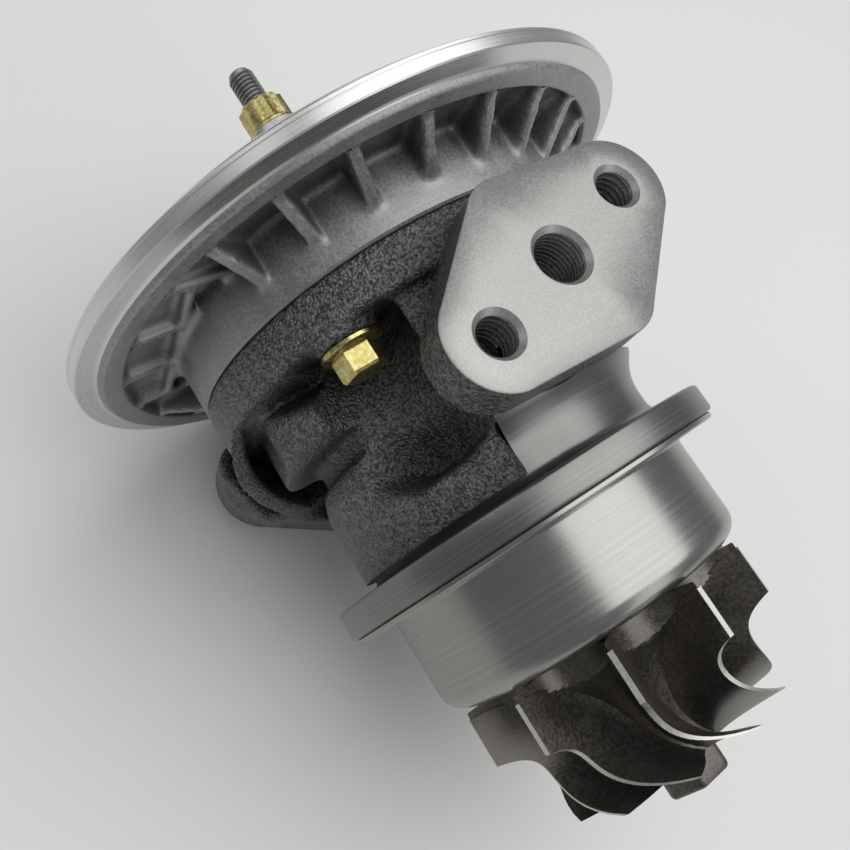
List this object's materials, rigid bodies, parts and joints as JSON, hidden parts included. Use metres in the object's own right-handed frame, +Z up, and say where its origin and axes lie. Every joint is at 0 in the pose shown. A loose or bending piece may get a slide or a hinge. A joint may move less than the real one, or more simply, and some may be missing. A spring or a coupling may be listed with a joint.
{
  "type": "turbocharger cartridge",
  "caption": "Turbocharger cartridge: cast bearing housing with oil pads, ribbed compressor backplate, heat shield and a rotor with both wheels that spins on floating bushes.",
  "frame": {"origin": "on the shaft axis, in the middle of the backplate rim that locates the compressor cover", "axes": "+X along the shaft towards the turbine wheel, +Z up through the oil inlet pad, +Y across"},
  "size_m": [0.1688, 0.1234, 0.1234],
  "materials": {
    "cast_iron": "sand cast with machined pads",
    "die_cast": "die cast with turned rim",
    "plated_steel": "yellow zinc plate",
    "black_rubber": "matt",
    "stainless_sheet": "satin",
    "cast_alloy": "dark cast",
    "ground_steel": "ground",
    "wheel_aluminium": "cast and machined",
    "bronze": "machined",
    "dark_steel": "hardened"
  },
  "bodies": {
    "housing": {"bearing_housing": "cast_iron", "compressor_backplate": "die_cast", "backplate_bolts": "plated_steel", "backplate_oring": "black_rubber", "cover_oring": "black_rubber", "heat_shield": "stainless_sheet", "thrust_bearing": "bronze", "thrust_screws": "dark_steel", "oil_baffle": "stainless_sheet", "compressor_seal_ring": "dark_steel", "turbine_seal_ring": "dark_steel", "compressor_bush_rings": "dark_steel", "turbine_bush_rings": "dark_steel"},
    "rotor": {"turbine_shaft": "ground_steel", "turbine_wheel": "cast_alloy", "compressor_wheel": "wheel_aluminium", "shaft_nut": "plated_steel", "thrust_collar": "dark_steel", "oil_flinger": "dark_steel"},
    "front_bush": {"compressor_bush": "bronze"},
    "rear_bush": {"turbine_bush": "bronze"}
  },
  "joints": [
    {"name": "rotor_spin", "type": "hinge", "parent": "housing", "child": "rotor", "pos_m": [0, 0, 0], "axis": [1, 0, 0], "continuous": true},
    {"name": "front_bush_spin", "type": "hinge", "parent": "housing", "child": "front_bush", "pos_m": [0.028, 0, 0], "axis": [1, 0, 0], "continuous": true},
    {"name": "rear_bush_spin", "type": "hinge", "parent": "housing", "child": "rear_bush", "pos_m": [0.055, 0, 0], "axis": [1, 0, 0], "continuous": true}
  ]
}
